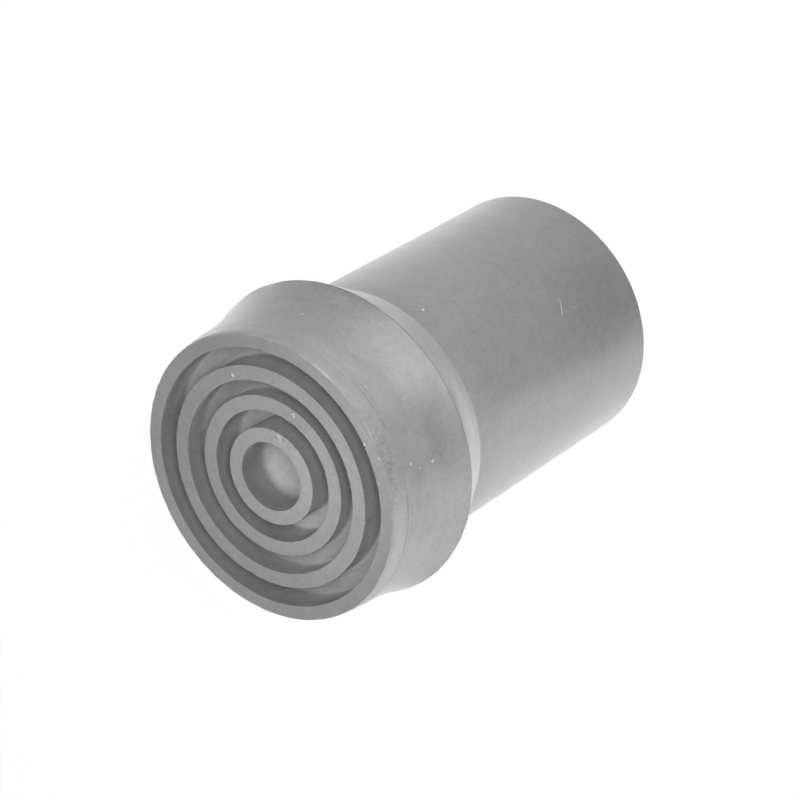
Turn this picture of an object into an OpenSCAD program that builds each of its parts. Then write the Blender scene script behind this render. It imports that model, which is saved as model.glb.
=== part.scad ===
// Rubber cane tip: a one-piece push-on foot for a walking cane.
// It stands on its mouth, with the origin at the centre of the mouth and the ringed tread on top.

/* [Socket] */
// Bore that grips the end of the cane
socket_d = 19; // [12:0.5:22]
// Depth of the socket, from the mouth to its floor
socket_depth = 36.2; // [25:0.1:45]
// Thickness of the rubber around the socket
wall_t = 4.85; // [3:0.05:6.5]
// Rounded lead-in at the mouth of the socket
lead_in_r = 0.8; // [0.2:0.1:1.5]
// Rounding of the outer edge of the mouth
mouth_edge_r = 0.2; // [0.1:0.1:1.4]
// Fillet around the floor of the socket
socket_floor_r = 1; // [0.3:0.1:3]

/* [Tread] */
// Solid rubber between the floor of the socket and the tread
base_t = 12.4; // [9:0.1:20]
// Diameter of the well in the middle
well_d = 7.5; // [5:0.1:11]
// Depth of the well below the rim
well_depth = 4.7; // [2.5:0.1:6]
// Fillet around the floor of the well
well_floor_r = 1.2; // [0.2:0.1:1.5]
// Width of each of the three rings
ring_w = 1.55; // [1:0.05:2.5]
// Width of the groove around the inner ring
inner_groove_w = 1.9; // [1.3:0.05:3]
// Width of the groove around the middle ring
middle_groove_w = 1.8; // [1.3:0.05:3]
// Width of the groove around the outer ring
outer_groove_w = 2; // [1.3:0.05:3]
// Depth of the groove around the inner ring, below the rim
inner_groove_depth = 4.6; // [2:0.1:6]
// Depth of the groove around the middle ring, below the rim
middle_groove_depth = 3.1; // [2:0.1:6]
// Depth of the groove around the outer ring, below the rim
outer_groove_depth = 3.8; // [2:0.1:6]
// Fillet along both sides of each groove's floor
groove_floor_r = 0.55; // [0.1:0.05:0.6]
// How far the inner ring lies below the rim
inner_ring_drop = 0.45; // [0:0.05:1]
// How far the middle ring lies below the rim
middle_ring_drop = 0.6; // [0:0.05:1]
// How far the outer ring lies below the rim
outer_ring_drop = 0.1; // [0:0.05:1]
// Width of the rim, from the outer groove to the edge of the tread
rim_w = 1.5; // [1:0.05:4]
// Rounding along the edges of the rings and the well
ring_edge_r = 0.12; // [0.05:0.01:0.4]
// Rounding of the tread's outer edge
rim_edge_r = 0.3; // [0.1:0.05:0.5]

/* [Skirt] */
// Height of the plain band behind the rim
band_h = 2; // [1:0.1:4]
// How much the band widens over its height
band_draft = 0.25; // [0:0.05:1]
// Step out from the band to the skirt, left by the joint of the mould
mould_step = 0.06; // [0.02:0.01:0.3]
// Height of the flare, from the band to the skirt's edge
flare_h = 8.95; // [5:0.05:14]
// How far the skirt's edge stands out past the tread's edge
flare_w = 1.78; // [1.5:0.01:5]
// Depth of the hollow in the flare, measured from the straight line between its ends
flare_hollow = 0.33; // [0.1:0.01:0.6]
// Rounding of the skirt's edge
skirt_edge_r = 0.2; // [0.1:0.05:0.5]
// Height of the shoulder that runs from the skirt's edge in to the shank
shoulder_h = 5.85; // [3:0.05:10]
// Fillet between the shoulder and the shank
shoulder_r = 1; // [0.3:0.1:3]

/* [Hidden] */
$fn = 128;
// Straight steps in a rounding, and in the long arc of the flare
round_steps = 5;
flare_steps = 12;

socket_r = socket_d / 2;
shank_r = socket_r + wall_t;
tip_h = socket_depth + base_t;

// Rings and grooves, listed from the middle of the tread outwards
grooves = [inner_groove_w, middle_groove_w, outer_groove_w];
ring_tops = [tip_h - inner_ring_drop, tip_h - middle_ring_drop, tip_h - outer_ring_drop, tip_h];
groove_floors = [for (depth = [inner_groove_depth, middle_groove_depth, outer_groove_depth]) tip_h - depth];
well_floor_z = tip_h - well_depth;
well_r = well_d / 2;
tread_r = ring_inner_r(len(grooves)) + rim_w;

// Heights and radii of the outside, from the tread down to the shank
band_z = tip_h - band_h;
band_r = tread_r + band_draft;
flare_top_r = band_r + mould_step;
skirt_z = band_z - flare_h;
skirt_r = tread_r + flare_w;
shoulder_z = skirt_z - shoulder_h;

// Inner radius of ring i, where the ring after the last groove is the rim
function ring_inner_r(i) = i == 0 ? well_r : ring_inner_r(i - 1) + ring_w + grooves[i - 1];

// Points of an arc about c, from angle a by a turn of t
function arc(c, r, a, t, steps) = [for (i = [0:steps]) c + r * [cos(a + t * i / steps), sin(a + t * i / steps)]];

// Angle in the range -180 to 180
function wrapped(a) = a > 180 ? a - 360 : a < -180 ? a + 360 : a;

function unit(v) = v / norm(v);
function direction(v) = atan2(v[1], v[0]);

// Rounds the corner q between its neighbours p and s, as an arc tangent to both sides
function rounding(p, q, s, r) =
    let (
        u = unit(p - q),
        v = unit(s - q),
        half = acos(u * v) / 2,
        c = q + unit(u + v) * r / sin(half),
        from = direction(q + u * r / tan(half) - c),
        to = direction(q + v * r / tan(half) - c)
    )
    arc(c, r, from, wrapped(to - from), round_steps);

// Turns corners, each [radius, height, rounding], into the points of a closed outline
function outline(corners) = [
    for (i = [0:len(corners) - 1])
        let (
            n = len(corners),
            p = corners[(i + n - 1) % n],
            q = corners[i],
            s = corners[(i + 1) % n]
        )
        each q[2] == 0 ? [[q[0], q[1]]] : rounding([p[0], p[1]], [q[0], q[1]], [s[0], s[1]], q[2])
];

// The flare is one arc through the skirt's edge and the top of the flare, hollow towards the outside
function flare() =
    let (
        low = [skirt_r, skirt_z],
        high = [flare_top_r, band_z],
        chord = norm(high - low),
        r = (chord * chord / 4 + flare_hollow * flare_hollow) / (2 * flare_hollow),
        out = unit([high[1] - low[1], low[0] - high[0]]),
        c = (low + high) / 2 + out * (r - flare_hollow),
        from = direction(low - c),
        turn = wrapped(direction(high - c) - from)
    )
    arc(c, r, from, turn, flare_steps);

socket_corners = [
    [0, socket_depth, 0],
    [socket_r, socket_depth, socket_floor_r],
    [socket_r, 0, lead_in_r],
    [shank_r, 0, mouth_edge_r]
];

skirt_corners = [
    [shank_r, shoulder_z, shoulder_r],
    for (i = [0:flare_steps]) concat(flare()[i], i == 0 ? skirt_edge_r : 0),
    [band_r, band_z, 0],
    [tread_r, tip_h, rim_edge_r]
];

// From the rim inwards: the two walls of each groove, then the well
tread_corners = [
    for (i = [len(grooves):-1:1]) each [
        [ring_inner_r(i), ring_tops[i], ring_edge_r],
        [ring_inner_r(i), groove_floors[i - 1], groove_floor_r],
        [ring_inner_r(i - 1) + ring_w, groove_floors[i - 1], groove_floor_r],
        [ring_inner_r(i - 1) + ring_w, ring_tops[i - 1], ring_edge_r]
    ],
    [well_r, ring_tops[0], ring_edge_r],
    [well_r, well_floor_z, well_floor_r],
    [0, well_floor_z, 0]
];

module tip() {
    color([0.6, 0.6, 0.6])
        rotate_extrude()
            polygon(outline(concat(socket_corners, skirt_corners, tread_corners)));
}

tip();
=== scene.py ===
import math
import random

import bpy
import numpy as np
from mathutils import Euler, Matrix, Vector, noise
from mathutils.bvhtree import BVHTree


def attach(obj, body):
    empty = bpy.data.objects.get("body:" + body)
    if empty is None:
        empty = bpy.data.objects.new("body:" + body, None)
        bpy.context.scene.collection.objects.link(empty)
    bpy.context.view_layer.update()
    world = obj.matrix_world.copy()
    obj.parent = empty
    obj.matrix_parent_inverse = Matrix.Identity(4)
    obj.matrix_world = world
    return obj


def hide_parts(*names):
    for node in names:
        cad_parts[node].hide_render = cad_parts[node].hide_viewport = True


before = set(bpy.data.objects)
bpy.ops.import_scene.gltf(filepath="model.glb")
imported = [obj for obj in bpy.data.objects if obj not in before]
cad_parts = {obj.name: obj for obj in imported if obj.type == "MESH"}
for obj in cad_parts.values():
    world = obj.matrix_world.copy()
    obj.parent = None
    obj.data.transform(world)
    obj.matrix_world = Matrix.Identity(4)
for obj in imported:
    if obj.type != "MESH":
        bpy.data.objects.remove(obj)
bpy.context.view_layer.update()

mm = 0.001
tiny = 1e-6                  # mm, as good as nothing
slack = 0.01                 # mm, for places that ought to be the same
scene = bpy.context.scene
scene.view_settings.view_transform = "Standard"
print("frame loaded, nodes:", ", ".join(sorted(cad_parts)))

# all lengths are in mm, and azimuths are degrees round the axis, 0 towards the camera and +90 towards +X

cameraSet = {
    "elevation": 46.57,      # degrees above the floor
    "roll": 120.98,          # degrees; the axis of the tip runs from lower left to upper right
    "distance": 309.0,       # from the point that it looks at
    "target": (-0.07, 0.0, 26.1),
    "lens": 130.8,
    "sensor": 36.0,
    "clip": (10.0, 10000.0),
}


def makeCamera(p):
    data = bpy.data.cameras.new("camera")
    data.lens = p["lens"]
    data.sensor_width = p["sensor"]
    data.clip_start, data.clip_end = (reach * mm for reach in p["clip"])
    camera = bpy.data.objects.new("camera", data)
    scene.collection.objects.link(camera)
    tilt = math.radians(p["elevation"])
    look = Vector((0, math.cos(tilt), -math.sin(tilt)))
    upright = look.to_track_quat("-Z", "Y")
    roll = Euler((0, 0, -math.radians(p["roll"]))).to_quaternion()
    camera.rotation_mode = "QUATERNION"
    camera.rotation_quaternion = upright @ roll
    camera.location = (Vector(p["target"]) - look * p["distance"]) * mm
    scene.camera = camera


makeCamera(cameraSet)
print("camera set")

tipShape = {
    "socketRadius": 9.5,
    "socketDepth": 36.2,
    "wall": 4.85,
    "leadIn": 0.8,
    "mouthEdge": 0.2,
    "socketFloor": 1.0,
    "base": 12.4,
    "wellRadius": 3.75,
    "wellDepth": 4.7,
    "wellFloor": 1.2,
    "ringWidth": 1.55,
    "grooves": (1.9, 1.8, 2.0),
    "grooveDepths": (4.6, 3.1, 3.8),
    "grooveFloor": 0.65,
    "ringDrops": (0.45, 0.6, 0.1, 0.0),
    "rimWidth": 1.5,
    "ringEdge": 0.07,
    "rimEdge": 0.16,
    "bandHeight": 2.0,
    "bandDraft": 0.28,
    "flareHeight": 8.95,
    "flareWidth": 1.78,
    "flareHollow": 0.33,
    "skirtEdge": 0.2,
    "shoulderHeight": 5.85,
    "shoulderFillet": 1.0,
    "around": 340,           # steps round the axis
    "roundSteps": 5,         # steps in each small rounding, and twice that in a large one
    "largeRound": 0.9,       # a rounding above this is a large one
    "flareRows": (8, 15),    # rows on the flare, and closer ones by the band, where the mould's lines run
    "flareSplit": (0.86, 0.88),   # shares of the flare where the first rows end and the closer ones start
    "bandRows": (0.3, 0.6),  # rows on the band, as shares of its height
    "wholeUpTo": 0.3,        # a straight stretch no longer than this isn't cut
    "longest": 3.2,          # longest step along a straight stretch
    "socketLongest": 9.6,    # and in the socket
    "edgeStep": 0.08,        # first step from each end of a stretch
    "edgeParts": 5,          # and in a short one, one of this many parts
    "secondStep": 0.32,      # and the second, in stretches of the tread that are longer than secondFrom
    "secondFrom": 1.0,
}

unevenness = {
    "outOfRound": 0.05,      # slow swing of the whole outline
    "outOfRoundSize": 18.0,
    "waves": 0.018,          # shallow waves left by the mould
    "waveSize": 3.6,
    "edgeWobble": 0.035,     # along the edges that turn outwards
    "edgeSize": 1.1,
    "seat": 1.5,             # the mouth is true, and the unevenness grows over this height
    "lineFade": 0.3,         # share of each half of a mould line over which it fades
    "lineRadius": 15.0,      # mould lines run outside this radius
}

# pips stand out and nicks go in; span runs round the axis and width across it
marks = [
    {"azimuth": -45.5, "radius": 12.1, "height": 48.45, "span": 0.22, "width": 0.11, "rise": 0.22},
    {"azimuth": -142.0, "radius": 12.05, "height": 48.45, "span": 0.3, "width": 0.2, "rise": -0.06},
    {"azimuth": -118.0, "radius": 8.75, "height": 47.95, "span": 0.25, "width": 0.18, "rise": -0.06},
    {"azimuth": 23.0, "radius": 15.42, "height": 48.56, "span": 2.2, "width": 0.1, "rise": 0.09},
    {"azimuth": 168.0, "radius": 15.4, "height": 48.5, "span": 0.5, "width": 0.2, "rise": -0.05},
]

# the inner ring's outer edge is rough on one side, with small pips and nicks
roughEdge = {
    "seed": 4,
    "count": 16,
    "azimuths": (14, 60),
    "radius": 5.25,
    "inwards": 0.25,         # how far in from that radius they may lie
    "height": 48.12,
    "spans": (0.12, 0.4),
    "widths": (0.08, 0.16),
    "rises": (0.05, 0.11),
}

# fine lines that the joint of the mould leaves behind the band, each a shallow nick with painted shade along
# it
mouldLines = [
    {"height": 46.55, "from": -8, "to": 16, "width": 0.11, "rise": -0.03, "paintedShade": 0.65},
    {"height": 46.1, "from": -1, "to": 13, "width": 0.1, "rise": -0.02, "paintedShade": 0.55},
    {"height": 46.45, "from": -78, "to": -26, "width": 0.1, "rise": -0.06, "paintedShade": 1.0},
    {"height": 45.9, "from": -72, "to": -34, "width": 0.08, "rise": -0.04, "paintedShade": 0.75},
]

# painted light and shade on the outside: paler patches where highlights and light fall, darker ones where
# shade falls; span runs round the axis and width along it
paintedLightPatches = [
    {"azimuth": -48, "height": 30, "span": 6, "width": 10, "tone": 0.13},
    {"azimuth": -9, "height": 5.5, "span": 6.5, "width": 8.5, "tone": -0.15},
    {"azimuth": -11.5, "height": 34.8, "span": 4.0, "width": 2.8, "tone": 0.75},
    {"azimuth": 40, "height": 34.8, "span": 4.5, "width": 2.8, "tone": -0.3},
    {"azimuth": 41, "height": 36.9, "span": 5, "width": 1.1, "tone": -0.3},
    {"azimuth": 36, "height": 40.5, "span": 4, "width": 3.5, "tone": -0.1},
    {"azimuth": 12, "height": 40, "span": 4.5, "width": 3, "tone": 0.14},
    {"azimuth": -17, "height": 39.5, "span": 4, "width": 3.5, "tone": -0.15},
    {"azimuth": -86, "height": 41, "span": 5, "width": 4.5, "tone": -0.27},
    {"azimuth": 84, "height": 43, "span": 4.5, "width": 4, "tone": -0.25},
    {"azimuth": -47, "height": 34.8, "span": 4, "width": 2.8, "tone": -0.18},
    {"azimuth": -63, "height": 35.4, "span": 3, "width": 1.8, "tone": -0.2},
    {"azimuth": -86, "height": 45.4, "span": 3.5, "width": 1.6, "tone": -0.2},
    {"azimuth": -56, "height": 47.5, "span": 7, "width": 0.9, "tone": 0.24},
    {"azimuth": 82, "height": 47.6, "span": 6.5, "width": 0.9, "tone": 0.85},
    {"azimuth": -19, "height": 47.5, "span": 2.5, "width": 0.9, "tone": -0.1},
    {"azimuth": 20, "height": 47.5, "span": 2.5, "width": 0.9, "tone": -0.1},
    {"azimuth": 22, "height": 48.53, "span": 1.8, "width": 0.07, "tone": 0.4},
    {"azimuth": -78, "height": 24, "span": 3.5, "width": 9, "tone": -0.2},
    {"azimuth": -42, "height": 41.0, "span": 2.5, "width": 3.5, "tone": 0.08},
    {"azimuth": -150, "height": 40, "span": 6, "width": 4, "tone": 0.1},
    {"azimuth": 140, "height": 22, "span": 7, "width": 9, "tone": -0.08},
]

# the same painted light and shade on the flat tops of the rings and the rim, where width runs across the ring
paintedTopLightPatches = [
    {"azimuth": 0, "radius": 14.9, "span": 5, "width": 1.5, "tone": 0.15},
    {"azimuth": -75, "radius": 14.9, "span": 7, "width": 1.5, "tone": -0.12},
    {"azimuth": 75, "radius": 14.9, "span": 7, "width": 1.5, "tone": -0.14},
    {"azimuth": 165, "radius": 14.9, "span": 6, "width": 1.5, "tone": 0.06},
    {"azimuth": -15, "radius": 11.3, "span": 5, "width": 1.2, "tone": 0.09},
    {"azimuth": 100, "radius": 11.3, "span": 9, "width": 1.2, "tone": -0.09},
    {"azimuth": -135, "radius": 11.3, "span": 5, "width": 1.2, "tone": -0.06},
    {"azimuth": 30, "radius": 8.0, "span": 2.5, "width": 1.2, "tone": -0.1},
]

# rough pale scuffs, where the surface is mottled; span runs round the axis and width across it
scuffs = [
    {"azimuth": 37, "radius": 5.0, "height": 48.15, "span": 2.2, "width": 0.4, "share": 1.5},
    {"azimuth": -14, "radius": 15.5, "height": 48.0, "span": 5.0, "width": 0.9, "share": 0.8},
    {"azimuth": 12, "radius": 16.2, "height": 36.2, "span": 11.0, "width": 1.6, "share": 0.6},
    {"azimuth": -66, "radius": 17.1, "height": 37.9, "span": 7.0, "width": 0.6, "share": 0.8},
]

# where a value has a swing, it is stronger by the swing at +90 degrees and weaker by it at -90
# most of these set painted light and shade, in the tread and along the edges
tones = {
    "edge": 0.84,            # painted shade on the walls in the tread, along the edges of the rings
    "foot": 1.28,            # and painted light from footDepth down
    "footDepth": 2.6,
    "wellFoot": 0.3,         # share of the way from edge to foot that the wall of the well goes
    "wellLip": 0.05,         # the edge of the well, as far as it counts as the well
    "outwardSides": (1.4, 4),     # painted light: walls are paler to the left and right: strength and power if they face out
    "inwardSides": (1.0, 8),      # and if they face in
    "grooveFloors": ((0.5, -0.25), (-0.05, -0.25), (0.3, 0.05)),   # share of the floors' painted light, and swing
    "floorSlope": 1.5,       # how soon a fillet counts as floor
    "dullFrom": 0.6,         # walls are dull from this steepness on
    "topDepth": 1.0,         # the flat tops lie no deeper below the rim than this
    "skirt": (0.75, 0.35),   # painted shade along the skirt's edge, and swing
    "skirtReach": 0.6,
    "rim": 0.4,              # painted shade along the rim's edge over its highlight, but for a stretch where the highlight is left
    "rimReach": 0.5,
    "unshadedAt": 23,
    "unshadedSpan": 8,
    "flowBelow": 1.0,        # flow marks start this far below the skirt's edge
}


def unit(v):
    return v / np.hypot(*v)


# points on the arc that turns the short way from one spoke of a circle to another
def arcPoints(centre, radius, first, last, shares):
    start = math.atan2(first[1], first[0])
    turn = (math.atan2(last[1], last[0]) - start + math.pi) % (2 * math.pi) - math.pi
    angles = start + turn * shares
    return centre + radius * np.column_stack((np.cos(angles), np.sin(angles)))


# an arc that is tangent to both sides of a corner
def roundCorner(before, corner, after, radius, steps):
    u = unit(before - corner)
    v = unit(after - corner)
    half = math.acos(np.clip(u @ v, -1, 1)) / 2
    centre = corner + unit(u + v) * radius / math.sin(half)
    first = corner + u * radius / math.tan(half) - centre
    last = corner + v * radius / math.tan(half) - centre
    return arcPoints(centre, radius, first, last, np.linspace(0, 1, steps + 1))


# the hollow flare, from the skirt's edge up to the band
def flarePoints(low, high, p):
    sag = p["flareHollow"]
    chord = np.hypot(*(high - low))
    radius = (chord * chord / 4 + sag * sag) / (2 * sag)
    out = unit(np.array((high[1] - low[1], low[0] - high[0])))
    centre = (low + high) / 2 + out * (radius - sag)
    rows = np.linspace(0, p["flareSplit"][0], p["flareRows"][0])
    closeRows = np.linspace(p["flareSplit"][1], 1, p["flareRows"][1])
    return arcPoints(centre, radius, low - centre, high - centre, np.concatenate((rows, closeRows)))


def tipHeight(p):
    return p["socketDepth"] + p["base"]


def skirtHeight(p):
    return tipHeight(p) - p["bandHeight"] - p["flareHeight"]


# the rings from the middle outwards, the rim last, each as inner radius, outer radius and top
def treadRings(p):
    inner = p["wellRadius"]
    rings = []
    for gap, drop in zip((*p["grooves"], 0), p["ringDrops"]):
        width = p["ringWidth"] if gap else p["rimWidth"]
        rings.append((inner, inner + width, tipHeight(p) - drop))
        inner += width + gap
    return rings


# corners of the outline as radius, height, rounding and zone, which is 0 outside and in the socket,
# 1 in the tread and 2 on the floors of the grooves and the well
def tipCorners(p):
    rings = treadRings(p)
    top = tipHeight(p)
    treadEdge = rings[-1][1]
    shank = p["socketRadius"] + p["wall"]
    bandZ = top - p["bandHeight"]
    bandRadius = treadEdge + p["bandDraft"]
    low = np.array((treadEdge + p["flareWidth"], skirtHeight(p)))
    high = np.array((bandRadius, bandZ))
    corners = [
        (0, p["socketDepth"], 0, 0),
        (p["socketRadius"], p["socketDepth"], p["socketFloor"], 0),
        (p["socketRadius"], 0, p["leadIn"], 0),
        (shank, 0, p["mouthEdge"], 0),
        (shank, low[1] - p["shoulderHeight"], p["shoulderFillet"], 0),
    ]
    for i, point in enumerate(flarePoints(low, high, p)):
        corners.append((point[0], point[1], p["skirtEdge"] if i == 0 else 0, 0))
    for share in p["bandRows"]:
        corners.append((bandRadius + (treadEdge - bandRadius) * share, bandZ + (top - bandZ) * share, 0, 0))
    corners.append((treadEdge, top, p["rimEdge"], 0))
    for i in range(len(rings) - 1, 0, -1):
        outer, outerTop = rings[i][0], rings[i][2]
        inner, innerTop = rings[i - 1][1:]
        floorZ = top - p["grooveDepths"][i - 1]
        corners += [
            (outer, outerTop, p["ringEdge"], 1),
            (outer, floorZ, p["grooveFloor"], 2),
            (inner, floorZ, p["grooveFloor"], 2),
            (inner, innerTop, p["ringEdge"], 1),
        ]
    corners += [
        (p["wellRadius"], rings[0][2], p["ringEdge"], 1),
        (p["wellRadius"], top - p["wellDepth"], p["wellFloor"], 2),
        (0, top - p["wellDepth"], 0, 2),
    ]
    return corners


# where a straight stretch is cut, as shares of its length: evenly, and once or twice near its ends
def cutShares(length, p, inSocket, inTread):
    if length <= p["wholeUpTo"]:
        return []
    parts = math.ceil(length / (p["socketLongest"] if inSocket else p["longest"]))
    near = min(p["edgeStep"], length / p["edgeParts"]) / length
    shares = {k / parts for k in range(1, parts)} | {near, 1 - near}
    if inTread and length > p["secondFrom"]:
        second = p["secondStep"] / length
        shares |= {second, 1 - second}
    return sorted(shares)


# rows of radius, height, zone and crest: 1 where the outline turns outwards, -1 where it turns inwards
def tipOutline(p):
    corners = tipCorners(p)
    rows = []
    for i, (r, z, rounding, zone) in enumerate(corners):
        if rounding == 0:
            rows.append((r, z, zone, 0))
            continue
        corner = np.array((r, z), float)
        before = np.array(corners[i - 1][:2], float)
        after = np.array(corners[(i + 1) % len(corners)][:2], float)
        u = corner - before
        v = after - corner
        side = np.sign(u[0] * v[1] - u[1] * v[0])
        steps = p["roundSteps"] * (2 if rounding > p["largeRound"] else 1)
        for point in roundCorner(before, corner, after, rounding, steps):
            rows.append((point[0], point[1], zone, side))
    rows = np.array(rows, float)
    full = [rows[0]]
    for a, b in zip(rows, rows[1:]):
        inSocket = a[2] == 0 and max(a[0], b[0]) < p["socketRadius"] + slack
        for share in cutShares(np.hypot(*(b - a)[:2]), p, inSocket, b[2] > 0):
            row = a + (b - a) * share
            row[3] = 0
            full.append(row)
        full.append(b)
    return np.array(full)


def outwardNormals(rows):
    along = np.gradient(rows[:, :2], axis=0)
    along /= np.maximum(np.hypot(along[:, 0], along[:, 1]), tiny)[:, None]
    return np.column_stack((along[:, 1], -along[:, 0]))


# in what follows, what belongs to a row of the outline is a column and what belongs to an angle is a row
def columnsOf(table):
    return [column[:, None] for column in table.T]


# how far each angle is from an azimuth, the short way round, in radians
def turnFrom(azimuth, angles):
    return np.angle(np.exp(1j * (angles - math.radians(azimuth))))[None, :]


# 1 in the middle of a soft spot, falling off round the axis and across it
def spotShare(spot, rows, angles):
    r, z = columnsOf(rows)[:2]
    arc = turnFrom(spot["azimuth"], angles) * spot["radius"] / spot["span"]
    across = np.hypot(r - spot["radius"], z - spot["height"]) / spot["width"]
    return np.exp(-arc ** 2 - across ** 2)


# the same for a patch of painted light and shade, given how far each row is from its middle
def paintedPatchShare(paintedLightPatch, away, r, angles):
    arc = turnFrom(paintedLightPatch["azimuth"], angles) * r / paintedLightPatch["span"]
    return np.exp(-arc ** 2 - (away / paintedLightPatch["width"]) ** 2)


# 1 in the middle of a mould line, falling off to its sides and ends
def lineShare(line, rows, angles, p):
    r, z = columnsOf(rows)[:2]
    reach = math.radians((line["to"] - line["from"]) / 2)
    turned = np.abs(turnFrom((line["from"] + line["to"]) / 2, angles))
    along = np.clip((reach - turned) / (p["lineFade"] * reach), 0, 1)
    across = (z - line["height"]) / line["width"]
    return along * np.exp(-across ** 2) * (r > p["lineRadius"])


def allMarks():
    draw = random.Random(roughEdge["seed"])
    found = list(marks)
    for k in range(roughEdge["count"]):
        found.append({
            "azimuth": draw.uniform(*roughEdge["azimuths"]),
            "radius": roughEdge["radius"] - draw.uniform(0, roughEdge["inwards"]),
            "height": roughEdge["height"],
            "span": draw.uniform(*roughEdge["spans"]),
            "width": draw.uniform(*roughEdge["widths"]),
            "rise": draw.choice((-1, 1)) * draw.uniform(*roughEdge["rises"]),
        })
    return found


# how far each point of the surface stands off its ideal place, along the outward normal
def surfaceShift(rows, angles, p):
    shift = np.zeros((len(rows), len(angles)))
    for i, (r, z, crest) in enumerate(rows[:, (0, 1, 3)]):
        for k, angle in enumerate(angles):
            place = Vector((r * math.sin(angle), -r * math.cos(angle), z))
            value = p["outOfRound"] * noise.noise(place / p["outOfRoundSize"])
            value += p["waves"] * noise.noise(place / p["waveSize"])
            if crest > 0:
                value += p["edgeWobble"] * noise.noise(place / p["edgeSize"])
            shift[i, k] = value
    shift *= np.clip(rows[:, 1:2] / p["seat"], 0, 1)
    for mark in allMarks():
        shift += mark["rise"] * spotShare(mark, rows, angles)
    for line in mouldLines:
        shift += line["rise"] * lineShare(line, rows, angles, p)
    return shift


# painted shade and light on the walls in the tread, by the depth below the nearest edge and by the side
def paintedWallTones(rows, normals, angles, p, tone):
    r, z, zone = columnsOf(rows)[:3]
    facing = normals[:, :1]
    edges = np.array([(radius, ring[2]) for ring in treadRings(p) for radius in ring[:2]])
    nearest = np.abs(r - edges[:, 0]).argmin(axis=1)
    depth = np.clip((edges[nearest, 1:] - z) / tone["footDepth"], 0, 1)
    depth *= np.where(r < p["wellRadius"] + tone["wellLip"], tone["wellFoot"], 1)
    outward, inward = (strength * np.abs(np.sin(angles)) ** power
                       for strength, power in (tone["outwardSides"], tone["inwardSides"]))
    sides = np.where(facing > 0, outward, inward)
    steep = np.where(zone == 2, facing ** 2, 1)
    return (tone["edge"] + (tone["foot"] - tone["edge"]) * depth) * (1 + sides * steep)


# how much of the floors' painted light each floor has: all of it in the well, and its own share in each
# groove
def paintedFloorLightShares(rows, normals, angles, p, tone):
    groove = np.searchsorted([ring[1] for ring in treadRings(p)[:-1]], rows[:, 0] + slack) - 1
    share, swing = columnsOf(np.array(tone["grooveFloors"])[np.clip(groove, 0, len(p["grooves"]) - 1)])
    inWell = rows[:, :1] < p["wellRadius"] + tone["wellLip"]
    flat = (rows[:, 2:3] == 2) * np.clip(tone["floorSlope"] * normals[:, 1:], 0, 1)
    return flat * np.where(inWell, 1, share + swing * np.sin(angles))


# painted shade in lines along the skirt's edge and the rim's edge and in the mould's lines
def paintedShadeLines(rows, angles, p, tone):
    r, z, zone, crest = columnsOf(rows)
    share, swing = tone["skirt"]
    onSkirt = (zone == 0) * (crest > 0) * (np.abs(z - skirtHeight(p)) < tone["skirtReach"])
    paintedShade = onSkirt * (share + swing * np.sin(angles))
    unshaded = np.exp(-(np.degrees(turnFrom(tone["unshadedAt"], angles)) / tone["unshadedSpan"]) ** 2)
    rimRadius, rimTop = treadRings(p)[-1][1:]
    onRim = (crest > 0) & (z > rimTop - tone["rimReach"]) & (r > rimRadius - tone["rimReach"])
    paintedShade = np.maximum(paintedShade, tone["rim"] * onRim * (1 - unshaded))
    for line in mouldLines:
        paintedShade = np.maximum(paintedShade, line["paintedShade"] * lineShare(line, rows, angles, unevenness))
    return paintedShade


# 1 with the painted light and shade of the outside and of the flat tops added
def paintedLightTones(rows, normals, angles, p, tone):
    r, z, zone = columnsOf(rows)[:3]
    onTop = np.abs(normals[:, 1:]) * (z > tipHeight(p) - tone["topDepth"])
    paintedLight = np.ones((len(rows), len(angles)))
    for paintedLightPatch in paintedLightPatches:
        paintedLight += paintedLightPatch["tone"] * (zone == 0) * paintedPatchShare(paintedLightPatch, z - paintedLightPatch["height"], r, angles)
    for paintedLightPatch in paintedTopLightPatches:
        paintedLight += paintedLightPatch["tone"] * onTop * paintedPatchShare(paintedLightPatch, r - paintedLightPatch["radius"], r, angles)
    return paintedLight


# values over the surface that the rubber's material reads
def surfaceMasks(rows, normals, angles, p, tone):
    r, z, zone = columnsOf(rows)[:3]
    inTread = (zone > 0) & (r > tiny)
    across, up = columnsOf(np.abs(normals))
    scuffed = [scuff["share"] * spotShare(scuff, rows, angles) for scuff in scuffs]
    masks = {
        "paintedLightPatch": paintedLightTones(rows, normals, angles, p, tone),
        "scuff": np.maximum.reduce(scuffed),
        "wall": across * inTread,
        "tone": paintedWallTones(rows, normals, angles, p, tone),
        "land": up * inTread,
        "floor": paintedFloorLightShares(rows, normals, angles, p, tone),
        "skirt": (zone == 0) & (z > skirtHeight(p) - tone["flowBelow"]),
        "paintedShade": paintedShadeLines(rows, angles, p, tone),
    }
    return {name: np.broadcast_to(mask, (len(rows), len(angles))) for name, mask in masks.items()}


def addPiece(name, vertices, faces):
    mesh = bpy.data.meshes.new(name)
    mesh.from_pydata([tuple(v) for v in vertices], [], faces)
    mesh.validate()
    mesh.shade_smooth()
    piece = bpy.data.objects.new(name, mesh)
    scene.collection.objects.link(piece)
    return piece


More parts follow.
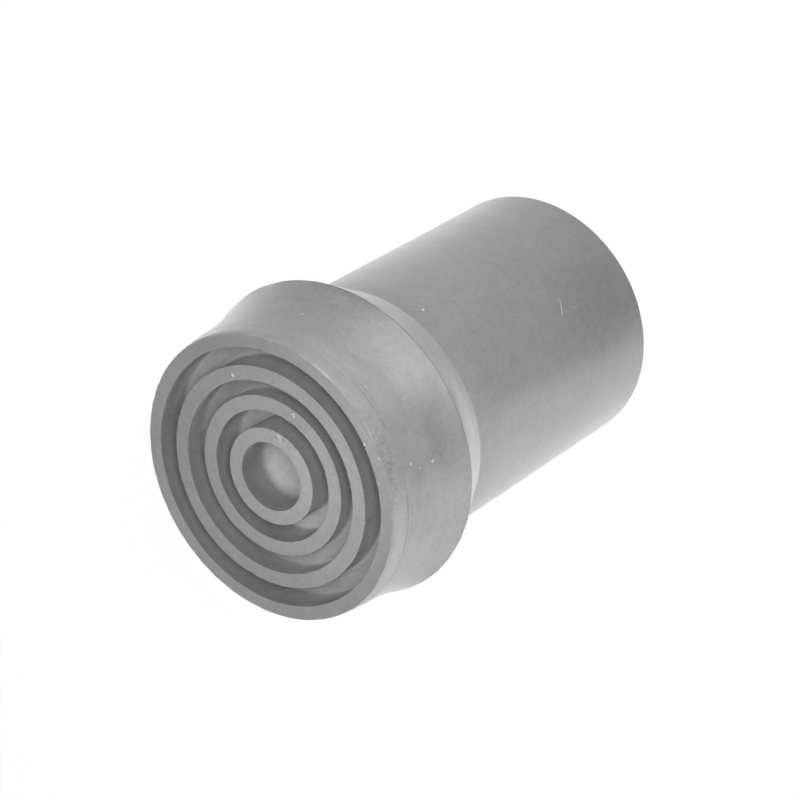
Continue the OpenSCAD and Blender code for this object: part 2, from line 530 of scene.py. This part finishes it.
# the outline turned round the axis; faces of the grooves and the well take the second material
def makeTip(p, uneven, tone):
    rows = tipOutline(p)
    normals = outwardNormals(rows)
    angles = 2 * np.pi * np.arange(p["around"]) / p["around"]
    shift = surfaceShift(rows, angles, uneven)
    masks = surfaceMasks(rows, normals, angles, p, tone)
    values = {name: [] for name in masks}
    vertices = []
    loops = []
    for i, (r, z) in enumerate(rows[:, :2]):
        count = p["around"] if r > tiny else 1
        move = shift[i, :count] * (count > 1)
        radii = (r + normals[i, 0] * move) * mm
        heights = (z + normals[i, 1] * move) * mm
        loops.append(list(range(len(vertices), len(vertices) + count)))
        turns = angles[:count]
        vertices += list(zip(radii * np.sin(turns), -radii * np.cos(turns), heights))
        for name, mask in masks.items():
            values[name] += list(mask[i, :count])
    dull = (rows[:, 2] > 1) | ((rows[:, 2] > 0) & (np.abs(normals[:, 0]) > tone["dullFrom"]))
    faces = []
    slots = []
    for a, b, both in zip(loops, loops[1:], dull[:-1] & dull[1:]):
        slots += [int(both)] * p["around"]
        for k in range(p["around"]):
            m = (k + 1) % p["around"]
            if len(a) == 1:
                faces.append((a[0], b[m], b[k]))
            elif len(b) == 1:
                faces.append((a[k], a[m], b[0]))
            else:
                faces.append((a[k], a[m], b[m], b[k]))
    body = addPiece("tipBody", vertices, faces)
    body.data.polygons.foreach_set("material_index", slots)
    for name, numbers in values.items():
        layer = body.data.attributes.new(name, "FLOAT", "POINT")
        layer.data.foreach_set("value", np.array(numbers, np.float32))
    print("tip mesh made,", len(rows), "rows and", len(faces), "faces")
    return body


tipBody = makeTip(tipShape, unevenness, tones)


# surface of the tip, to lay fibres and specks on
def surfaceFinder(body):
    mesh = body.data
    tree = BVHTree.FromPolygons([v.co for v in mesh.vertices], [f.vertices for f in mesh.polygons])
    return lambda place: tree.find_nearest(Vector(place) * mm)[:2]


onSurface = surfaceFinder(tipBody)


def placeOf(azimuth, radius, height):
    a = math.radians(azimuth)
    return (radius * math.sin(a), -radius * math.cos(a), height)


dustSet = {
    "placed": [              # specks as azimuth, radius, height and size
        (30.0, 8.34, 48.0, 0.2),
        (28.6, 8.16, 48.0, 0.13),
        (49.5, 16.1, 42.9, 0.11),
        (-8.0, 14.3, 48.6, 0.15),
        (-14.5, 15.36, 48.6, 0.12),
        (-25.0, 16.0, 44.0, 0.08),
        (-22.0, 15.9, 45.1, 0.14),
        (-25.0, 16.2, 42.2, 0.21),
        (27.5, 14.25, 29.7, 0.18),
        (24.5, 14.76, 32.8, 0.14),
        (-0.5, 16.1, 42.8, 0.065),
        (3.5, 16.7, 39.7, 0.06),
        (10.0, 15.8, 45.9, 0.07),
        (21.0, 16.9, 36.9, 0.09),
    ],
    "seed": 23,
    "extra": 22,             # smaller ones, anywhere on the outside
    "heights": (3, 47),
    "sizes": (0.04, 0.07),
    "farOut": 18,            # radius outside the tip, to come down on the surface from
    "sides": 8,
    "stretch": (0.7, 1.4),
    "lumps": (0.75, 1.15),
    "flatness": 0.8,
    "rings": ((-0.5, 0.8), (0.25, 1.0), (0.7, 0.6)),   # height and width of each ring, as shares of the size
    "crown": 0.75,           # height of the highest point and depth of the lowest, as shares of the size
    "sunk": 0.5,
}


# each speck is a low lumpy dome that is half sunk in the surface
def makeSpecks(p):
    draw = random.Random(p["seed"])
    specks = list(p["placed"])
    for k in range(p["extra"]):
        height = draw.uniform(*p["heights"])
        size = draw.uniform(*p["sizes"])
        specks.append((draw.uniform(-180, 180), p["farOut"], height, size))
    n = p["sides"]
    vertices = []
    faces = []
    for azimuth, radius, height, size in specks:
        centre, normal = onSurface(placeOf(azimuth, radius, height))
        turn = normal.to_track_quat("Z", "Y")
        stretch = draw.uniform(*p["stretch"])
        start = len(vertices)
        for level, share in p["rings"]:
            for k in range(n):
                a = 2 * math.pi * k / n
                lump = size * share * draw.uniform(*p["lumps"])
                up = size * level * p["flatness"]
                offset = Vector((lump * math.cos(a) * stretch, lump * math.sin(a), up))
                vertices.append(centre + turn @ offset * mm)
        vertices.append(centre + normal * size * p["crown"] * mm)
        vertices.append(centre - normal * size * p["sunk"] * mm)
        middle, high, crown = (start + n * level for level in (1, 2, 3))
        for k in range(n):
            m = (k + 1) % n
            faces.append((start + k, start + m, middle + m, middle + k))
            faces.append((middle + k, middle + m, high + m, high + k))
            faces.append((high + k, high + m, crown))
            faces.append((start + m, start + k, crown + 1))
    print("dust laid,", len(specks), "specks")
    return addPiece("dustSpecks", vertices, faces)


# fibres of lint that lie on the surface; lie is in degrees from the axis
lintSet = {
    "fibres": [
        {"azimuth": 73, "radius": 11.2, "height": 48.5,
         "length": 0.66, "thick": 0.3, "bend": 0.05, "lie": -12},
        {"azimuth": -1.5, "radius": 14.35, "height": 12.5,
         "length": 2.1, "thick": 0.1, "bend": 0.07, "lie": -58},
        {"azimuth": -4, "radius": 14.35, "height": 10.6,
         "length": 1.5, "thick": 0.035, "bend": 0.1, "lie": 18},
        {"azimuth": 140, "radius": 14.25, "height": 20.0,
         "length": 1.5, "thick": 0.045, "bend": 0.3, "lie": 70},
        {"azimuth": -120, "radius": 17, "height": 40.0,
         "length": 1.2, "thick": 0.045, "bend": -0.2, "lie": 20},
    ],
    "steps": 9,
    "sides": 6,
    "taper": 0.12,           # square of the ends' share of the thickness
    "lift": 0.6,             # share of its radius that a fibre's middle stands off the surface
}


def makeLint(p):
    steps, sides = p["steps"], p["sides"]
    vertices = []
    faces = []
    for fibre in p["fibres"]:
        centre, normal = onSurface(placeOf(fibre["azimuth"], fibre["radius"], fibre["height"]))
        a = math.radians(fibre["azimuth"])
        side = Vector((math.cos(a), math.sin(a), 0))
        lie = math.radians(fibre["lie"])
        along = normal.cross(side) * math.cos(lie) + side * math.sin(lie)
        across = normal.cross(along)
        start = len(vertices)
        for i in range(steps):
            t = 2 * i / (steps - 1) - 1
            bow = across * fibre["bend"] * (1 - t * t)
            ideal = centre + (along * t * fibre["length"] / 2 + bow) * mm
            spot, out = onSurface(ideal / mm)
            radius = fibre["thick"] / 2 * math.sqrt(max(p["taper"], 1 - t ** 4))
            for k in range(sides):
                angle = 2 * math.pi * k / sides
                ring = out * math.cos(angle) + across * math.sin(angle)
                vertices.append(spot + (ring * radius + out * radius * p["lift"]) * mm)
        for i in range(steps - 1):
            row = start + i * sides
            for k in range(sides):
                m = (k + 1) % sides
                faces.append((row + k, row + sides + k, row + sides + m, row + m))
        faces.append(tuple(start + k for k in range(sides)))
        faces.append(tuple(start + (steps - 1) * sides + k for k in reversed(range(sides))))
    print("lint laid,", len(p["fibres"]), "fibres")
    return addPiece("lintFibres", vertices, faces)


dust = makeSpecks(dustSet)
lint = makeLint(lintSet)


def addNode(tree, kind, **settings):
    node = tree.nodes.new(kind)
    for name, value in settings.items():
        setattr(node, name, value)
    return node


# links another node's output to a socket, or sets the socket to a plain value
def feed(tree, socket, value):
    if isinstance(value, bpy.types.NodeSocket):
        tree.links.new(value, socket)
    else:
        socket.default_value = value


def mathNode(tree, operation, *values):
    node = addNode(tree, "ShaderNodeMath", operation=operation)
    for socket, value in zip(node.inputs, values):
        feed(tree, socket, value)
    return node.outputs[0]


def productNode(tree, product, *factors):
    for factor in factors:
        product = mathNode(tree, "MULTIPLY", product, factor)
    return product


def rangeNode(tree, value, fromMin, fromMax, toMin, toMax):
    node = addNode(tree, "ShaderNodeMapRange")
    names = ("Value", "From Min", "From Max", "To Min", "To Max")
    for name, limit in zip(names, (value, fromMin, fromMax, toMin, toMax)):
        feed(tree, node.inputs[name], limit)
    return node.outputs["Result"]


# nearly all of a noise texture lies between these, and they become low and high
def noiseRange(tree, texture, low, high):
    return rangeNode(tree, texture.outputs["Fac"], 0.3, 0.7, low, high)


# 1 where the mask is 0, and the tone where the mask is 1
def toned(tree, mask, tone):
    return rangeNode(tree, mask, 0.0, 1.0, 1.0, tone)


# an empty group with its sockets, given as name: kind or name: (kind, default)
def newGroup(name, inputs, outputs):
    tree = bpy.data.node_groups.new(name, "ShaderNodeTree")
    for label, kind in inputs.items():
        default = None
        if isinstance(kind, tuple):
            kind, default = kind
        socket = tree.interface.new_socket(label, in_out="INPUT", socket_type="NodeSocket" + kind)
        if default is not None:
            socket.default_value = default
    for label, kind in outputs.items():
        tree.interface.new_socket(label, in_out="OUTPUT", socket_type="NodeSocket" + kind)
    return tree, tree.nodes.new("NodeGroupInput"), tree.nodes.new("NodeGroupOutput")


# a texture at a group's Place, scaled so that its cells or lumps have the size that a socket gives in mm
def sizedTexture(tree, kind, given, size):
    texture = addNode(tree, kind)
    tree.links.new(given.outputs["Place"], texture.inputs["Vector"])
    tree.links.new(mathNode(tree, "DIVIDE", 1 / mm, given.outputs[size]), texture.inputs["Scale"])
    return texture


# noise whose lumps are about Size across, mapped to Low to High
def makeCloudGroup():
    tree, given, result = newGroup(
        "cloudyValue",
        {"Place": "Vector", "Size": ("Float", 5.0), "Detail": ("Float", 2.0),
         "Low": ("Float", 0.9), "High": ("Float", 1.1)},
        {"Value": "Float"},
    )
    paintedLightPatch = sizedTexture(tree, "ShaderNodeTexNoise", given, "Size")
    tree.links.new(given.outputs["Detail"], paintedLightPatch.inputs["Detail"])
    value = noiseRange(tree, paintedLightPatch, given.outputs["Low"], given.outputs["High"])
    tree.links.new(value, result.inputs["Value"])
    return tree


# fine moulded grain: a height for the bump and a value that goes with it
def makeGrainGroup():
    tree, given, result = newGroup(
        "mouldedGrain",
        {"Place": "Vector", "Size": ("Float", 0.3), "Spread": ("Float", 0.03)},
        {"Height": "Float", "Value": "Float"},
    )
    lumps = sizedTexture(tree, "ShaderNodeTexNoise", given, "Size")
    lumps.inputs["Detail"].default_value = 3.0
    lumps.inputs["Roughness"].default_value = 0.62
    low = mathNode(tree, "SUBTRACT", 1.0, given.outputs["Spread"])
    high = mathNode(tree, "ADD", 1.0, given.outputs["Spread"])
    tree.links.new(lumps.outputs["Fac"], result.inputs["Height"])
    tree.links.new(noiseRange(tree, lumps, low, high), result.inputs["Value"])
    return tree


# small pale flecks, one in each cell that the draw picks
def makeFleckGroup():
    tree, given, result = newGroup(
        "paleFlecks",
        {"Place": "Vector", "Spacing": ("Float", 2.0), "Radius": ("Float", 0.1),
         "Picked": ("Float", 0.3)},
        {"Mask": "Float"},
    )
    cells = sizedTexture(tree, "ShaderNodeTexVoronoi", given, "Spacing")
    across = mathNode(tree, "MULTIPLY", cells.outputs["Distance"], given.outputs["Spacing"])
    edge = rangeNode(tree, across, given.outputs["Radius"], 0.0, 0.0, 1.0)
    draw = addNode(tree, "ShaderNodeSeparateColor")
    tree.links.new(cells.outputs["Color"], draw.inputs["Color"])
    chosen = mathNode(tree, "LESS_THAN", draw.outputs["Red"], given.outputs["Picked"])
    tree.links.new(mathNode(tree, "MULTIPLY", edge, chosen), result.inputs["Mask"])
    return tree


# distance of x and y from the middle
def distanceNode(tree, x, y):
    squares = (mathNode(tree, "POWER", value, 2.0) for value in (x, y))
    return mathNode(tree, "SQRT", mathNode(tree, "ADD", *squares))


# faint marks that run round the axis, where the rubber flowed in the mould
def makeFlowGroup():
    tree, given, result = newGroup(
        "flowMarks",
        {"Place": "Vector", "Length": ("Float", 12.0), "Width": ("Float", 0.5),
         "Low": ("Float", 0.97), "High": ("Float", 1.03)},
        {"Value": "Float"},
    )
    parts = addNode(tree, "ShaderNodeSeparateXYZ")
    tree.links.new(given.outputs["Place"], parts.inputs[0])
    long = mathNode(tree, "DIVIDE", 1 / mm, given.outputs["Length"])
    fine = mathNode(tree, "DIVIDE", 1 / mm, given.outputs["Width"])
    radius = distanceNode(tree, parts.outputs["X"], parts.outputs["Y"])
    slope = mathNode(tree, "ADD", parts.outputs["Z"], radius)
    joined = addNode(tree, "ShaderNodeCombineXYZ")
    tree.links.new(mathNode(tree, "MULTIPLY", parts.outputs["X"], long), joined.inputs["X"])
    tree.links.new(mathNode(tree, "MULTIPLY", parts.outputs["Y"], long), joined.inputs["Y"])
    tree.links.new(mathNode(tree, "MULTIPLY", slope, fine), joined.inputs["Z"])
    streak = addNode(tree, "ShaderNodeTexNoise")
    streak.inputs["Scale"].default_value = 1.0
    streak.inputs["Detail"].default_value = 2.0
    tree.links.new(joined.outputs[0], streak.inputs["Vector"])
    value = noiseRange(tree, streak, given.outputs["Low"], given.outputs["High"])
    tree.links.new(value, result.inputs["Value"])
    return tree


# value that changes from Inside, at X and Y in millimetres, to Beyond at the distance Reach
def makePatchGroup():
    tree, given, result = newGroup(
        "roundPatch",
        {"Place": "Vector", "X": "Float", "Y": "Float", "Reach": ("Float", 10.0),
         "Inside": ("Float", 1.1), "Beyond": ("Float", 0.9)},
        {"Value": "Float"},
    )
    parts = addNode(tree, "ShaderNodeSeparateXYZ")
    tree.links.new(given.outputs["Place"], parts.inputs[0])
    away = []
    for name in ("X", "Y"):
        along = mathNode(tree, "MULTIPLY", parts.outputs[name], 1 / mm)
        away.append(mathNode(tree, "ABSOLUTE", mathNode(tree, "SUBTRACT", along, given.outputs[name])))
    reach, inside, beyond = (given.outputs[name] for name in ("Reach", "Inside", "Beyond"))
    value = rangeNode(tree, distanceNode(tree, *away), 0.0, reach, inside, beyond)
    tree.links.new(value, result.inputs["Value"])
    return tree


cloudGroup = makeCloudGroup()
grainGroup = makeGrainGroup()
fleckGroup = makeFleckGroup()
flowGroup = makeFlowGroup()
patchGroup = makePatchGroup()
print("node groups made")


def placeGroup(tree, group, place, **values):
    node = addNode(tree, "ShaderNodeGroup", node_tree=group)
    tree.links.new(place, node.inputs["Place"])
    for name, value in values.items():
        node.inputs[name.capitalize()].default_value = value
    return node


def grey(tree, value):
    node = addNode(tree, "ShaderNodeCombineColor")
    for name in ("Red", "Green", "Blue"):
        tree.links.new(value, node.inputs[name])
    return node.outputs["Color"]


# an empty material, with the place that its textures take
def newMaterial(name):
    material = bpy.data.materials.new(name)
    material.use_nodes = True
    tree = material.node_tree
    tree.nodes.clear()
    place = addNode(tree, "ShaderNodeTexCoord").outputs["Object"]
    return material, tree, place


# the surface of a material, from outputs of shade, roughness and height, and how high the bump stands
def addSurface(tree, shade, roughness, height, bump):
    surface = addNode(tree, "ShaderNodeBsdfPrincipled")
    output = addNode(tree, "ShaderNodeOutputMaterial")
    relief = addNode(tree, "ShaderNodeBump")
    relief.inputs["Strength"].default_value = 1.0
    relief.inputs["Distance"].default_value = bump * mm
    tree.links.new(height, relief.inputs["Height"])
    tree.links.new(relief.outputs["Normal"], surface.inputs["Normal"])
    tree.links.new(grey(tree, shade), surface.inputs["Base Color"])
    tree.links.new(roughness, surface.inputs["Roughness"])
    tree.links.new(surface.outputs["BSDF"], output.inputs["Surface"])
    return surface


rubberSet = {
    "shade": 0.36,           # grey of the outside
    "wallPaintedShade": 0.72,       # times that on the walls of the grooves, as painted shade, before their own painted tones
    "floorPaintedLight": 1.08,      # and, as painted light, on their floors
    "paintedShadeTone": 0.66,       # and in the lines of painted shade
    "paintedShadeSpots": {"size": 1.3, "low": 0.3, "high": 1.5},   # the lines of painted shade are stronger and weaker in turn
    # a painted pool of light on the tread, paler in its middle at x and y and darker beyond its reach
    "paintedLightPool": {"x": -2.4, "y": -4.2, "reach": 15.7, "inside": 1.28, "beyond": 0.84},
    "scuff": {"size": 0.4, "detail": 4.0, "low": -0.3, "high": 0.45},   # darker and paler mottling
    "mottles": (             # size and spread of each layer of mottling
        (9.0, 0.035),
        (1.7, 0.04),
        (0.55, 0.055),
    ),
    "flow": {"length": 7.0, "width": 1.7, "low": -0.07, "high": 0.07},
    "flecks": {"spacing": 2.2, "radius": 0.11, "picked": 0.22},
    "fleckShade": 0.55,
    "grain": {"size": 0.27, "spread": 0.05},
    "bump": 0.02,
    "dull": {"size": 2.4, "detail": 3.0},   # mottling of the roughness, between its lowest and highest
    "roughness": (0.37, 0.47),
    "specular": 0.5,
    "sheen": 0.5,
    "sheenRoughness": 0.4,
    "coat": 0.6,             # the smooth skin left by the mould
    "coatRoughness": 0.2,
}

# inside the grooves and the well the rubber is dull
grooveSet = {
    **rubberSet,
    "specular": 0.15,
    "roughness": (0.65, 0.75),
    "sheen": 0.0,
    "coat": 0.0,
    # painted shade on the walls
    "wallPaintedShade": 0.73,
    # painted light on the floors
    "floorPaintedLight": 1.45,
}


def makeRubber(name, p):
    material, tree, place = newMaterial(name)
    masks = {}
    for label in ("paintedLightPatch", "scuff", "wall", "tone", "land", "floor", "skirt", "paintedShade"):
        masks[label] = addNode(tree, "ShaderNodeAttribute", attribute_name=label).outputs["Fac"]

    grain = placeGroup(tree, grainGroup, place, **p["grain"])
    mottles = [placeGroup(tree, cloudGroup, place, size=size, low=1 - spread, high=1 + spread)
               for size, spread in p["mottles"]]
    flow = placeGroup(tree, flowGroup, place, **p["flow"])
    paintedLightPool = placeGroup(tree, patchGroup, place, **p["paintedLightPool"])
    scuff = placeGroup(tree, cloudGroup, place, **p["scuff"])
    spots = placeGroup(tree, cloudGroup, place, **p["paintedShadeSpots"])
    wall = mathNode(tree, "MULTIPLY", masks["tone"], p["wallPaintedShade"])
    paintedShade = mathNode(tree, "MULTIPLY", masks["paintedShade"], spots.outputs["Value"])
    layers = [
        *(mottle.outputs["Value"] for mottle in mottles),
        # painted light and shade from the patches on the outside and on the flat tops
        masks["paintedLightPatch"],
        mathNode(tree, "MULTIPLY_ADD", scuff.outputs["Value"], masks["scuff"], 1.0),
        mathNode(tree, "MULTIPLY_ADD", flow.outputs["Value"], masks["skirt"], 1.0),
        # painted pool of light on the flat tops and floors of the tread
        toned(tree, masks["land"], paintedLightPool.outputs["Value"]),
        # painted shade on the walls of the grooves
        toned(tree, masks["wall"], wall),
        # painted light on the floors of the grooves and the well
        mathNode(tree, "MULTIPLY_ADD", masks["floor"], p["floorPaintedLight"] - 1, 1.0),
        # painted shade in lines along the edges and in the mould's lines
        toned(tree, paintedShade, p["paintedShadeTone"]),
    ]
    shade = productNode(tree, grain.outputs["Value"], p["shade"], *layers)
    flecks = placeGroup(tree, fleckGroup, place, **p["flecks"])
    pale = addNode(tree, "ShaderNodeMix", data_type="FLOAT")
    tree.links.new(flecks.outputs["Mask"], pale.inputs["Factor"])
    tree.links.new(shade, pale.inputs["A"])
    pale.inputs["B"].default_value = p["fleckShade"]

    low, high = p["roughness"]
    dull = placeGroup(tree, cloudGroup, place, **p["dull"], low=low, high=high).outputs["Value"]
    surface = addSurface(tree, pale.outputs["Result"], dull, grain.outputs["Height"], p["bump"])
    surface.inputs["Specular IOR Level"].default_value = p["specular"]
    surface.inputs["Sheen Weight"].default_value = p["sheen"]
    surface.inputs["Sheen Roughness"].default_value = p["sheenRoughness"]
    surface.inputs["Coat Weight"].default_value = p["coat"]
    surface.inputs["Coat Roughness"].default_value = p["coatRoughness"]
    return material


dryDust = {
    "shade": 0.72,
    "grain": {"size": 0.08, "spread": 0.1},
    "bump": 0.01,
    "dull": {"size": 0.4, "detail": 1.0, "low": 0.7, "high": 0.9},
}
dryLint = {**dryDust, "shade": 0.6}


# pale dry stuff, for the specks and the lint
def makeDry(name, p):
    material, tree, place = newMaterial(name)
    grain = placeGroup(tree, grainGroup, place, **p["grain"])
    shade = mathNode(tree, "MULTIPLY", grain.outputs["Value"], p["shade"])
    dull = placeGroup(tree, cloudGroup, place, **p["dull"]).outputs["Value"]
    addSurface(tree, shade, dull, grain.outputs["Height"], p["bump"])
    return material


tipBody.data.materials.append(makeRubber("mouldedRubber", rubberSet))
tipBody.data.materials.append(makeRubber("grooveRubber", grooveSet))
dust.data.materials.append(makeDry("dryDust", dryDust))
lint.data.materials.append(makeDry("lintFibre", dryLint))
for piece in (tipBody, dust, lint):
    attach(piece, "root")
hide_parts("tip")
print("materials made")

floorSet = {
    "size": 4000.0,
    "mottle": {"size": 40.0, "low": 0.87, "high": 0.89},
    "whiteShare": 0.88,      # of what the camera sees of the floor; the rest is lit and shadowed
    "white": 1.09,           # strength of that share
    # gaps between the lights, and one brighter light, as the gloss sees them: the turns where each starts,
    # is full, starts to end and ends, and the distances from the axis that it lies between
    "gaps": (
        {"turns": (-42, -22, 10, 90), "near": 0, "far": 18, "depth": 1.0},
        {"turns": (-50, -34, 10, 90), "near": 18, "far": 55, "depth": 1.0},
        {"turns": (-55, -45, -9, 0), "near": 55, "far": 4000, "depth": 0.95},
        {"turns": (0, 8, 36, 50), "near": 95, "far": 450, "depth": -1.3},
        {"turns": (50, 62, 100, 140), "near": 55, "far": 4000, "depth": 0.7},
        {"turns": (-150, -140, -125, -105), "near": 55, "far": 4000, "depth": 0.5},
    ),
}


# 1 with the gap's depth taken away between its turns and distances
def makeGapGroup():
    turns = ("Turn1", "Turn2", "Turn3", "Turn4")
    tree, given, result = newGroup(
        "softGap",
        {"Place": "Vector", **{name: "Float" for name in turns},
         "Near": ("Float", 0.0), "Far": ("Float", 100.0), "Depth": ("Float", 1.0)},
        {"Value": "Float"},
    )
    parts = addNode(tree, "ShaderNodeSeparateXYZ")
    tree.links.new(given.outputs["Place"], parts.inputs[0])
    back = mathNode(tree, "MULTIPLY", parts.outputs["Y"], -1.0)
    turn = mathNode(tree, "DEGREES", mathNode(tree, "ARCTAN2", parts.outputs["X"], back))
    length = addNode(tree, "ShaderNodeVectorMath", operation="LENGTH")
    tree.links.new(given.outputs["Place"], length.inputs[0])
    reach = mathNode(tree, "DIVIDE", length.outputs["Value"], mm)
    first, second, third, fourth = (given.outputs[name] for name in turns)
    full = productNode(
        tree,
        rangeNode(tree, turn, first, second, 0.0, 1.0),
        rangeNode(tree, turn, third, fourth, 1.0, 0.0),
        given.outputs["Depth"],
        mathNode(tree, "GREATER_THAN", reach, given.outputs["Near"]),
        mathNode(tree, "LESS_THAN", reach, given.outputs["Far"]),
    )
    tree.links.new(mathNode(tree, "SUBTRACT", 1.0, full), result.inputs["Value"])
    return tree


# the camera sees a floor that is mostly white with a soft shadow, and the gloss sees its glow
def makeFloor(p):
    h = p["size"] * mm / 2
    floor = addPiece("floor", [(-h, -h, 0), (h, -h, 0), (h, h, 0), (-h, h, 0)], [(0, 1, 2, 3)])
    material, tree, place = newMaterial("paleFloor")
    mottle = placeGroup(tree, cloudGroup, place, **p["mottle"])
    diffuse = addNode(tree, "ShaderNodeBsdfDiffuse")
    tree.links.new(grey(tree, mottle.outputs["Value"]), diffuse.inputs["Color"])
    gapGroup = makeGapGroup()
    gaps = []
    for gap in p["gaps"]:
        values = {name: gap[name] for name in ("near", "far", "depth")}
        for i, turn in enumerate(gap["turns"]):
            values["turn" + str(i + 1)] = turn
        gaps.append(placeGroup(tree, gapGroup, place, **values).outputs["Value"])
    path = addNode(tree, "ShaderNodeLightPath")
    seen = path.outputs["Is Camera Ray"]
    glow = addNode(tree, "ShaderNodeEmission")
    strength = rangeNode(tree, seen, 0.0, 1.0, productNode(tree, *gaps), p["white"])
    tree.links.new(grey(tree, strength), glow.inputs["Color"])
    share = mathNode(tree, "MULTIPLY", seen, p["whiteShare"])
    share = mathNode(tree, "MAXIMUM", share, path.outputs["Is Glossy Ray"])
    mix = addNode(tree, "ShaderNodeMixShader")
    output = addNode(tree, "ShaderNodeOutputMaterial")
    tree.links.new(share, mix.inputs["Fac"])
    tree.links.new(diffuse.outputs[0], mix.inputs[1])
    tree.links.new(glow.outputs[0], mix.inputs[2])
    tree.links.new(mix.outputs[0], output.inputs["Surface"])
    floor.data.materials.append(material)


# white where the camera and the gloss look past the floor, and no light of its own
def makeWorld():
    world = bpy.data.worlds.new("world")
    scene.world = world
    world.use_nodes = True
    tree = world.node_tree
    background = tree.nodes["Background"]
    background.inputs["Color"].default_value = (1, 1, 1, 1)
    path = addNode(tree, "ShaderNodeLightPath")
    seen = mathNode(tree, "MAXIMUM", path.outputs["Is Camera Ray"], path.outputs["Is Glossy Ray"])
    tree.links.new(seen, background.inputs["Strength"])


# round soft lamps, each aimed at a height on the axis
farLamp = {"distance": 1000.0, "size": 500.0, "aim": 25, "glossy": True}
nearLamp = {"distance": 250.0, "size": 100.0, "aim": 40, "glossy": False}
lampSet = [
    {**farLamp, "name": "leftBox", "azimuth": -100, "elevation": 5, "power": 4.13},
    {**farLamp, "name": "rightBox", "azimuth": 80, "elevation": 5, "power": 1.9},
    {**farLamp, "name": "topBox", "azimuth": 0, "elevation": 88, "power": 0.66},
    {**nearLamp, "name": "lowFront", "azimuth": 0, "elevation": 40, "power": 0.327},
    {**nearLamp, "name": "highFront", "azimuth": 0, "elevation": 60, "power": 0.178},
]


def makeLamp(p):
    data = bpy.data.lights.new(p["name"], "AREA")
    data.shape = "DISK"
    data.size = p["size"] * mm
    data.energy = p["power"]
    lamp = bpy.data.objects.new(p["name"], data)
    scene.collection.objects.link(lamp)
    rise = math.radians(p["elevation"])
    outwards = Vector(placeOf(p["azimuth"], math.cos(rise), math.sin(rise)))
    lamp.location = outwards * (p["distance"] * mm) + Vector((0, 0, p["aim"] * mm))
    lamp.rotation_mode = "QUATERNION"
    lamp.rotation_quaternion = (-outwards).to_track_quat("-Z", "Y")
    lamp.visible_camera = False
    lamp.visible_glossy = p["glossy"]


makeFloor(floorSet)
makeWorld()
for values in lampSet:
    makeLamp(values)
print("floor, world and", len(lampSet), "lamps set")
